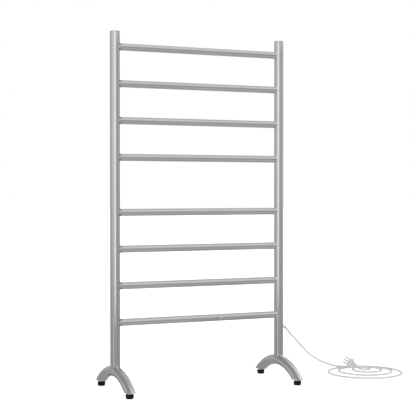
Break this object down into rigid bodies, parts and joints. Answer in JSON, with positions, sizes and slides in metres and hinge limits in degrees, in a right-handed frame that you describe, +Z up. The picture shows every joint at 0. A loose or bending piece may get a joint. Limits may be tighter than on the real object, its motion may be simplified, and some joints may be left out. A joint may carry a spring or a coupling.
{
  "type": "towel warmer rack",
  "caption": "Freestanding electric towel warmer rack: a polished steel ladder of round bars between two tube posts on arched feet with levelling glides, with a mains lead and plug.",
  "frame": {"origin": "on the floor, midway between the two posts and midway between the front and rear glides", "axes": "+X along the bars towards the post with the mains lead, +Y to the rear, +Z up"},
  "size_m": [1.0368, 0.3046, 1.108],
  "materials": {
    "polished_steel": "mirror-polished stainless steel tube",
    "plain_steel": "turned plain steel",
    "zinc_steel": "bright zinc plated steel",
    "black_rubber": "matt black moulded rubber",
    "heating_silicone": "satin silicone rubber sheath",
    "white_nylon": "satin moulded nylon",
    "brown_insulation": "satin wire insulation",
    "blue_insulation": "satin wire insulation",
    "green_insulation": "satin wire insulation",
    "terminal_brass": "tinned stamped brass",
    "white_pvc": "satin white PVC",
    "nickel_pins": "bright nickel plated brass"
  },
  "bodies": {
    "frame": {"left_post": "polished_steel", "right_post": "polished_steel", "left_post_cap": "polished_steel", "right_post_cap": "polished_steel", "bar_1": "polished_steel", "bar_2": "polished_steel", "bar_3": "polished_steel", "bar_4": "polished_steel", "bar_5": "polished_steel", "bar_6": "polished_steel", "bar_7": "polished_steel", "bar_8": "polished_steel", "left_foot": "polished_steel", "right_foot": "polished_steel", "left_front_insert": "plain_steel", "left_rear_insert": "plain_steel", "right_front_insert": "plain_steel", "right_rear_insert": "plain_steel", "left_post_insert": "plain_steel", "right_post_insert": "plain_steel", "thermal_cutout": "plain_steel", "left_foot_bolt": "zinc_steel", "right_foot_bolt": "zinc_steel", "left_saddle_washer": "zinc_steel", "right_saddle_washer": "zinc_steel", "earth_screw": "zinc_steel", "heating_cable": "heating_silicone", "live_splice": "white_nylon", "end_splice": "white_nylon", "neutral_splice": "white_nylon", "cord_grommet": "white_nylon", "link_lead": "brown_insulation", "live_lead": "brown_insulation", "return_lead": "blue_insulation", "neutral_lead": "blue_insulation", "earth_lead": "green_insulation", "earth_tag": "terminal_brass", "strain_relief": "white_pvc", "power_cord": "white_pvc", "cord_coil": "white_pvc", "plug_body": "white_pvc", "plug_boot": "white_pvc", "plug_live_pin": "nickel_pins", "plug_neutral_pin": "nickel_pins", "plug_earth_pin": "nickel_pins"},
    "left_front_glide": {"left_front_pad": "black_rubber"},
    "left_front_screw": {"left_front_stud": "zinc_steel"},
    "left_rear_glide": {"left_rear_pad": "black_rubber"},
    "left_rear_screw": {"left_rear_stud": "zinc_steel"},
    "right_front_glide": {"right_front_pad": "black_rubber"},
    "right_front_screw": {"right_front_stud": "zinc_steel"},
    "right_rear_glide": {"right_rear_pad": "black_rubber"},
    "right_rear_screw": {"right_rear_stud": "zinc_steel"}
  },
  "joints": [
    {"name": "left_front_level", "type": "slide", "parent": "frame", "child": "left_front_glide", "axis": [0, 0, 1], "range_m": [-0.008, 0.0025]},
    {"name": "left_front_turn", "type": "hinge", "parent": "left_front_glide", "child": "left_front_screw", "pos_m": [-0.285, -0.1265, 0], "axis": [0, 0, 1], "range_deg": [-2304, 720]},
    {"name": "left_rear_level", "type": "slide", "parent": "frame", "child": "left_rear_glide", "axis": [0, 0, 1], "range_m": [-0.008, 0.0025]},
    {"name": "left_rear_turn", "type": "hinge", "parent": "left_rear_glide", "child": "left_rear_screw", "pos_m": [-0.285, 0.1265, 0], "axis": [0, 0, 1], "range_deg": [-2304, 720]},
    {"name": "right_front_level", "type": "slide", "parent": "frame", "child": "right_front_glide", "axis": [0, 0, 1], "range_m": [-0.008, 0.0025]},
    {"name": "right_front_turn", "type": "hinge", "parent": "right_front_glide", "child": "right_front_screw", "pos_m": [0.285, -0.1265, 0], "axis": [0, 0, 1], "range_deg": [-2304, 720]},
    {"name": "right_rear_level", "type": "slide", "parent": "frame", "child": "right_rear_glide", "axis": [0, 0, 1], "range_m": [-0.008, 0.0025]},
    {"name": "right_rear_turn", "type": "hinge", "parent": "right_rear_glide", "child": "right_rear_screw", "pos_m": [0.285, 0.1265, 0], "axis": [0, 0, 1], "range_deg": [-2304, 720]}
  ],
  "couplings": [
    {"joint": "left_front_turn", "follows": "left_front_level", "rad_per_m": 5026.5},
    {"joint": "left_rear_turn", "follows": "left_rear_level", "rad_per_m": 5026.5},
    {"joint": "right_front_turn", "follows": "right_front_level", "rad_per_m": 5026.5},
    {"joint": "right_rear_turn", "follows": "right_rear_level", "rad_per_m": 5026.5}
  ]
}
